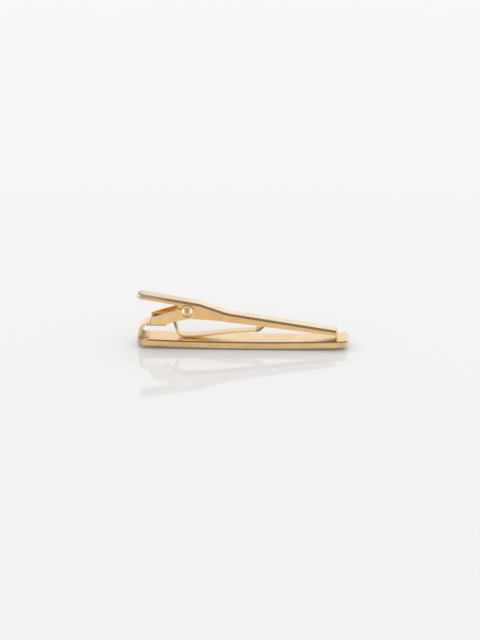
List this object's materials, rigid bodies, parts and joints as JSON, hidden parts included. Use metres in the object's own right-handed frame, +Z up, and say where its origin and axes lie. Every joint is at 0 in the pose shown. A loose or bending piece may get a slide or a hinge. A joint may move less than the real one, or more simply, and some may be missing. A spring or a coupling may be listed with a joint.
{
  "type": "tie clip",
  "caption": "Slim gold-toned tie clip: bowed face bar with a soldered hinge bracket and a sprung channel lever whose jaw grips a necktie.",
  "frame": {"origin": "middle of the clip's box at the height of the bar's bowed face, where the clip rests face down", "axes": "+X along the bar towards the jaw's tip, +Y across the bar, +Z up from the face towards the lever"},
  "size_m": [0.058, 0.0078, 0.0154],
  "materials": {
    "bar_gold": "worn gold plate, brushed lengthwise",
    "bracket_gold": "worn gold plate",
    "solder": "dull gilded solder",
    "lever_gold": "worn gold plate, brushed lengthwise",
    "rivet_gold": "polished, worn gold plate",
    "spring_gold": "gold plate"
  },
  "bodies": {
    "bar": {"face_bar": "bar_gold", "hinge_bracket": "bracket_gold", "solder_fillet": "solder", "pivot_rivet": "rivet_gold", "leaf_spring": "spring_gold"},
    "lever": {"clip_lever": "lever_gold"}
  },
  "joints": [
    {"name": "lever_hinge", "type": "hinge", "parent": "bar", "child": "lever", "pos_m": [-0.01508, 0, 0.01048], "axis": [0, -1, 0], "range_deg": [0, 24], "stiffness_Nm_per_rad": 0.04, "springref_deg": -40.11, "deforming": ["leaf_spring"]}
  ]
}
